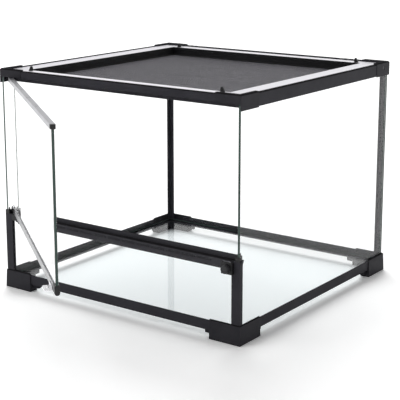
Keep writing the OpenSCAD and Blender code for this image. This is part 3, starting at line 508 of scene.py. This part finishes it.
FLOOR_GLASS = PaneGlass("floor_glass", (0.965, 0.982, 0.985), ior=1.15)
DOOR_GLASS = PaneGlass("door_glass", (0.96, 0.963, 0.963), ior=1.5, sheen=1.5)
# One ground edge in two copies; the paler copy on the left and floor panes is painted light.
DARK_EDGE = CutEdge("dark_cut_edge", (0.012, 0.036, 0.027), (0.022, 0.058, 0.045))
LIT_PALE_EDGE = CutEdge("lit_pale_cut_edge", (0.04, 0.065, 0.06), (0.08, 0.115, 0.105))

Finish = Plastic | Metal | PaneGlass | CutEdge
MADE: dict[str, bpy.types.Material] = {}


def finish(kind: Finish) -> bpy.types.Material:
    """The material of a finish, built once.

    Args:
        kind: The finish.

    Returns:
        Its material.
    """
    key = repr(kind)
    if key not in MADE:
        MADE[key] = kind.make()
    return MADE[key]


# ---- shapes ---------------------------------------------------------------------------------


BODY_OF = {node: body for body, nodes in frame["record"]["behaviour"]["bodies"].items() for node in nodes}


def settle(shape: bmesh.types.BMesh, name: str, node: str, *kinds: Finish) -> bpy.types.Object:
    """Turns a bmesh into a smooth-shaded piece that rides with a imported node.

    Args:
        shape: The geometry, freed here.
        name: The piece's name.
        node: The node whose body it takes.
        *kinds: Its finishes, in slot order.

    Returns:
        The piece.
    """
    mesh = bpy.data.meshes.new(name)
    shape.to_mesh(mesh)
    shape.free()
    for face in mesh.polygons:
        face.use_smooth = True
    mesh.set_sharp_from_angle(angle=SHARP_TURN)
    for kind in kinds:
        mesh.materials.append(finish(kind))
    piece = bpy.data.objects.new(name, mesh)
    bpy.context.scene.collection.objects.link(piece)
    weigh = piece.modifiers.new("even_normals", "WEIGHTED_NORMAL")
    weigh.keep_sharp = True
    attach(piece, BODY_OF[node])
    LOG.info("%s: %d faces on %s", name, len(mesh.polygons), BODY_OF[node])
    return piece


def merged(node: str) -> bmesh.types.BMesh:
    """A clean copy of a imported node's mesh, with flat faces joined.

    Args:
        node: The node's name.

    Returns:
        The copy.
    """
    shape = bmesh.new()
    shape.from_mesh(frame["nodes"][node].data)
    bmesh.ops.remove_doubles(shape, verts=shape.verts, dist=WELD)
    bmesh.ops.dissolve_limit(shape, angle_limit=FLAT_TURN, verts=shape.verts, edges=shape.edges,
                             use_dissolve_boundaries=False)
    return shape


def round_edges(shape: bmesh.types.BMesh, width: float, segments: int = 2) -> None:
    """Rounds the sharp edges.

    Args:
        shape: The geometry.
        width: Width of the rounding in metres.
        segments: Steps across it.
    """
    edges = [e for e in shape.edges if len(e.link_faces) == 2 and e.calc_face_angle(0.0) > ROUNDED_TURN]
    bmesh.ops.bevel(shape, geom=edges, offset=width, offset_type="OFFSET", affect="EDGES",
                    segments=segments, profile=0.5, material=-1, clamp_overlap=True, loop_slide=True)


def dress(node: str, kind: Finish, width: float, top: Finish | None = None) -> None:
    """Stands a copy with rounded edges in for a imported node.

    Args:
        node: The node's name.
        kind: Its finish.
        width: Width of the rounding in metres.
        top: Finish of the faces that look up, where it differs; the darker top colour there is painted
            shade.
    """
    shape = merged(node)
    round_edges(shape, width)
    kinds = [kind]
    if top:
        kinds.append(top)
        for face in shape.faces:
            face.normal_update()
            face.material_index = int(face.normal.z > LOOKS_UP)
    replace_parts(settle(shape, f"{node}_body", node, *kinds), node)


def keep(node: str, kind: Finish, top: Finish) -> None:
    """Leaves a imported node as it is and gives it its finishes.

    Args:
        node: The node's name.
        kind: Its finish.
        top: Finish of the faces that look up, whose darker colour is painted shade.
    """
    data = frame["nodes"][node].data
    data.materials.clear()
    data.materials.append(finish(kind))
    data.materials.append(finish(top))
    for face in data.polygons:
        face.material_index = int(face.normal.z > LOOKS_UP)
    LOG.info("%s: kept", node)


def weave(name: str, node: str, low: Vector, high: Vector, normal: int, pitch: float, wire: float,
          kind: Finish) -> bpy.types.Object:
    """Weaves a flat wire cloth from two layers of straight wires.

    Args:
        name: The piece's name.
        node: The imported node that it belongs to.
        low: Lower corner of its box.
        high: Upper corner of its box.
        normal: The axis across the cloth.
        pitch: Distance between wires.
        wire: Width of a wire.
        kind: Its finish.

    Returns:
        The piece.
    """
    shape = bmesh.new()
    size = high - low
    middle = (low + high) / 2
    first, second = [axis for axis in range(3) if axis != normal]
    for along, across, side in ((first, second, -1), (second, first, 1)):
        count = int(size[across] / pitch)
        start = middle[across] - (count - 1) * pitch / 2
        for step in range(count):
            place = middle.copy()
            place[across] = start + step * pitch
            place[normal] += size[normal] / 4 * side
            scale = Vector((wire, wire, wire))
            scale[normal] = wire * WIRE_FLATNESS
            scale[along] = size[along]
            matrix = Matrix.Translation(place) @ Matrix.Diagonal((*scale, 1.0))
            bmesh.ops.create_cube(shape, size=1.0, matrix=matrix)
    return settle(shape, name, node, kind)


# ---- the terrarium --------------------------------------------------------------------------


@dataclass
class Panes:
    """The five fixed panes."""

    arris: float = BAR_ROUND

    def pane(self, node: str, glass: PaneGlass, edge: CutEdge) -> None:
        """Builds one pane, with its ground edges in the edge finish.

        Args:
            node: The pane's node.
            glass: Finish of its two faces.
            edge: Finish of its edges.
        """
        shape = merged(node)
        faces = sorted(shape.faces, key=lambda f: -f.calc_area())
        for face in faces[2:]:
            face.material_index = 1
        round_edges(shape, self.arris, 1)
        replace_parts(settle(shape, f"{node}_pane", node, glass, edge), node)

    def build(self) -> None:
        """Builds the fixed panes."""
        # The left and floor panes take the paler edge copy: painted light.
        self.pane("floor_glass", FLOOR_GLASS, LIT_PALE_EDGE)
        self.pane("left_glass", WALL_GLASS, LIT_PALE_EDGE)
        for node in ("right_glass", "back_glass", "front_lower_glass"):
            self.pane(node, WALL_GLASS, DARK_EDGE)


@dataclass
class BottomFrame:
    """The feet and the rails between them."""

    rounding: float = 0.0008

    def build(self) -> None:
        """Dresses the feet and the bottom rails."""
        for place in CORNERS:
            dress(f"foot_{place}", BLACK_FOOT, self.rounding, top=SHADED_MATT_TOP)
        for side in SIDES:
            dress(f"bottom_rail_{side}", BLACK_RAIL, self.rounding, top=SHADED_MATT_TOP)


@dataclass
class TopFrame:
    """The top rails, their corner pieces, screws and cable inlets."""

    rounding: float = 0.0006

    def build(self) -> None:
        """Dresses the top frame."""
        for place in CORNERS:
            dress(f"top_corner_{place}", BLACK_FOOT, self.rounding, top=SHADED_MATT_TOP)
        for side in SIDES:
            dress(f"top_rail_{side}", BLACK_RAIL, self.rounding, top=SHADED_MATT_TOP)
        for side in ("left", "right"):
            dress(f"inlet_slider_{side}", BLACK_TRIM, TRIM_ROUND)
        dress("corner_screws", BLACKED_STEEL, TRIM_ROUND)


@dataclass
class Posts:
    """The corner posts, the vent strip and its end pieces.

    The gauze, a near-black sheet that paints the shade inside the strip, stands behind the strip's front
    wall, from slot_low to slot_high above the table.
    """

    rounding: float = 0.0005
    wall: float = 0.002
    setback: float = 0.004
    sheet: float = 0.0006
    margin: float = 0.004
    slot_low: float = 0.153
    slot_high: float = 0.16
    pitch: float = 0.0005
    wire: float = 0.0003

    def slot_shade(self) -> None:
        """Weaves the dark gauze that closes the strip's slots from behind, as painted shade inside the
        strip.
        """
        low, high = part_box("vent_strip")
        front = low.y + self.wall + self.setback
        weave("slot_shade_gauze", "vent_strip", Vector((low.x + self.margin, front, self.slot_low)),
              Vector((high.x - self.margin, front + self.sheet, self.slot_high)), 1, self.pitch, self.wire,
              SHADE_BLACK)

    def build(self) -> None:
        """Dresses the posts and the vent strip."""
        for side in ("left", "right"):
            dress(f"back_post_{side}", BLACK_RAIL, self.rounding)
            dress(f"front_post_{side}", BLACK_RAIL, self.rounding)
        keep("vent_strip", BLACK_STRIP, SHADED_MATT_TOP)
        self.slot_shade()
        dress("hinge_block", BLACK_TRIM, self.rounding)
        dress("strip_end", BLACK_TRIM, self.rounding)


@dataclass
class Door:
    """The hinged door: pane, rails, caps, pull and pins."""

    rounding: float = BAR_ROUND

    def build(self) -> None:
        """Dresses the door."""
        Panes(self.rounding).pane("door_glass", DOOR_GLASS, DARK_EDGE)
        for node in ("door_top_rail_hinge", "door_top_rail_free"):
            dress(node, DOOR_ALLOY, self.rounding)
        dress("door_bottom_rail", DOOR_POLISH, self.rounding)
        for node in ("door_cap_top", "door_cap_bottom"):
            dress(node, BLACK_TRIM, self.rounding)
        dress("door_pull", BRIGHT_PULL, self.rounding)
        dress("door_rail_screws", BLACKED_STEEL, PIN_ROUND)
        for node in ("door_pin_top", "door_pin_bottom"):
            dress(node, PIN_STEEL, PIN_ROUND)


@dataclass
class Lock:
    """The knob lock at the strip's right end."""

    rounding: float = 0.0006

    def build(self) -> None:
        """Dresses the lock."""
        dress("lock_body", BLACK_TRIM, self.rounding)
        dress("lock_knob", KNOB_GREY, self.rounding)
        dress("lock_crank", PIN_STEEL, PIN_ROUND)
        dress("lock_latch", LATCH_STEEL, TRIM_ROUND)


@dataclass
class Lid:
    """The lift-off lid: metal frame, a black well that is painted shade inside the frame, woven screen, cord
    and clamps.
    """

    rounding: float = BAR_ROUND
    cord_rounding: float = 0.0006
    pitch: float = 0.0012
    wire: float = 0.0003

    def screen(self) -> None:
        """Weaves the screen."""
        piece = weave("woven_screen", "lid_screen", *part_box("lid_screen"), 2, self.pitch, self.wire,
                      SCREEN_WIRE)
        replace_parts(piece, "lid_screen")

    def build(self) -> None:
        """Dresses the lid."""
        for side, kind in zip(SIDES, (LID_LIT_ACROSS, LID_LIT_ACROSS, LID_SHADED_DEEP, LID_SHADED_DEEP)):
            dress(f"lid_frame_{side}", kind, self.rounding)
            # The inner walls take near-black, painted shade inside the frame.
            dress(f"lid_well_{side}", SHADE_BLACK, self.rounding)
        dress("lid_corners", LID_CORNER, self.rounding)
        dress("lid_spline", BLACK_CORD, self.cord_rounding)
        self.screen()
        for place in CORNERS:
            dress(f"clamp_{place}", BLACK_TRIM, self.rounding)


@dataclass
class Studio:
    """The pale floor, the lamps, the world and the camera.

    The focal length is in the photograph's pixels, and paper is the floor's colour as the camera sees it.
    """

    daylight: float = 0.42
    pale: float = 0.9
    paper: float = 1.28
    floor_size: float = 9.0
    floor_drop: float = 0.0002
    position: Vector = Vector((1.4196, -1.9625, 0.7952))
    yaw: float = 0.6255
    pitch: float = 0.2155
    focal: float = 1150.0
    photo_width: float = 400.0
    sensor: float = 36.0
    shift: float = -0.1
    reach: float = 50.0

    def seen(self, tree: Tree) -> bpy.types.NodeSocket:
        """The mask of what the camera sees, also in a mirror or through glass.

        Args:
            tree: The tree to add to.

        Returns:
            The mask.
        """
        path = tree.add("ShaderNodeLightPath")
        direct = tree.math("MAXIMUM", path.outputs["Is Camera Ray"], path.outputs["Is Transmission Ray"])
        return tree.math("MAXIMUM", direct, path.outputs["Is Glossy Ray"])

    def floor(self) -> None:
        """Lays the floor, which shows white wherever no shadow lies on it."""
        shape = bmesh.new()
        bmesh.ops.create_grid(shape, x_segments=1, y_segments=1, size=self.floor_size)
        mesh = bpy.data.meshes.new("floor")
        shape.to_mesh(mesh)
        shape.free()
        material, tree, shader = start_material("pale_floor")
        shader.inputs["Base Color"].default_value = (*(self.pale,) * 3, 1.0)
        shader.inputs["Roughness"].default_value = 1.0
        shader.inputs["Specular IOR Level"].default_value = 0.0
        white = tree.add("ShaderNodeBsdfDiffuse", Color=(*(self.paper,) * 3, 1.0))
        split_surface(tree, self.seen(tree), shader, white)
        mesh.materials.append(material)
        plane = bpy.data.objects.new("floor", mesh)
        bpy.context.scene.collection.objects.link(plane)
        plane.location.z = -self.floor_drop

    def world(self) -> None:
        """Lights the scene from all round, and shows white to the camera, mirrors and glass."""
        world = bpy.data.worlds.new("studio")
        bpy.context.scene.world = world
        world.use_nodes = True
        tree = Tree(world.node_tree)
        ground = tree.tree.nodes["Background"]
        ground.inputs["Color"].default_value = (1.0, 1.0, 1.0, 1.0)
        lift = tree.math("MULTIPLY", self.seen(tree), 1.0 - self.daylight)
        tree.link(tree.math("ADD", self.daylight, lift), ground.inputs["Strength"])

    def lamp(self, name: str, place: Vector, share: float, spread: float) -> None:
        """Sets a far soft lamp, which mirrors don't show, so that it lights the floor evenly.

        Args:
            name: The lamp's name.
            place: The direction that it shines from.
            share: Its share of the floor's light, where 1 shows white paper as white.
            spread: The angle that the lamp fills, in degrees.
        """
        light = bpy.data.lights.new(name, "SUN")
        light.energy = share * math.pi / place.normalized().z
        light.angle = math.radians(spread)
        lamp = bpy.data.objects.new(name, light)
        bpy.context.scene.collection.objects.link(lamp)
        lamp.location = place
        lamp.rotation_euler = (-place).to_track_quat("-Z", "Y").to_euler()
        lamp.visible_glossy = False

    def camera(self) -> None:
        """Stands the camera at the photograph's place."""
        data = bpy.data.cameras.new("camera")
        data.sensor_width = self.sensor
        data.lens = self.sensor * self.focal / self.photo_width
        data.shift_y = self.shift
        data.clip_end = self.reach
        camera = bpy.data.objects.new("camera", data)
        bpy.context.scene.collection.objects.link(camera)
        camera.location = self.position
        camera.rotation_euler = (math.pi / 2 - self.pitch, 0.0, self.yaw)
        bpy.context.scene.camera = camera

    def build(self) -> None:
        """Sets up the stage."""
        self.floor()
        self.world()
        self.lamp("key", Vector((-1.6, -2.4, 2.4)), share=0.16, spread=40.0)
        self.lamp("rear", Vector((-1.6, 2.0, 2.2)), share=0.46, spread=40.0)
        self.camera()
        bpy.context.scene.view_settings.view_transform = "Standard"


def main() -> None:
    """Builds the terrarium and its stage."""
    logging.basicConfig(level=logging.INFO, format="%(name)s: %(message)s")
    for part in (Studio(), Panes(), BottomFrame(), TopFrame(), Posts(), Door(), Lock(), Lid()):
        LOG.info("%s", type(part).__name__)
        part.build()


if __name__ == "__main__":
    main()
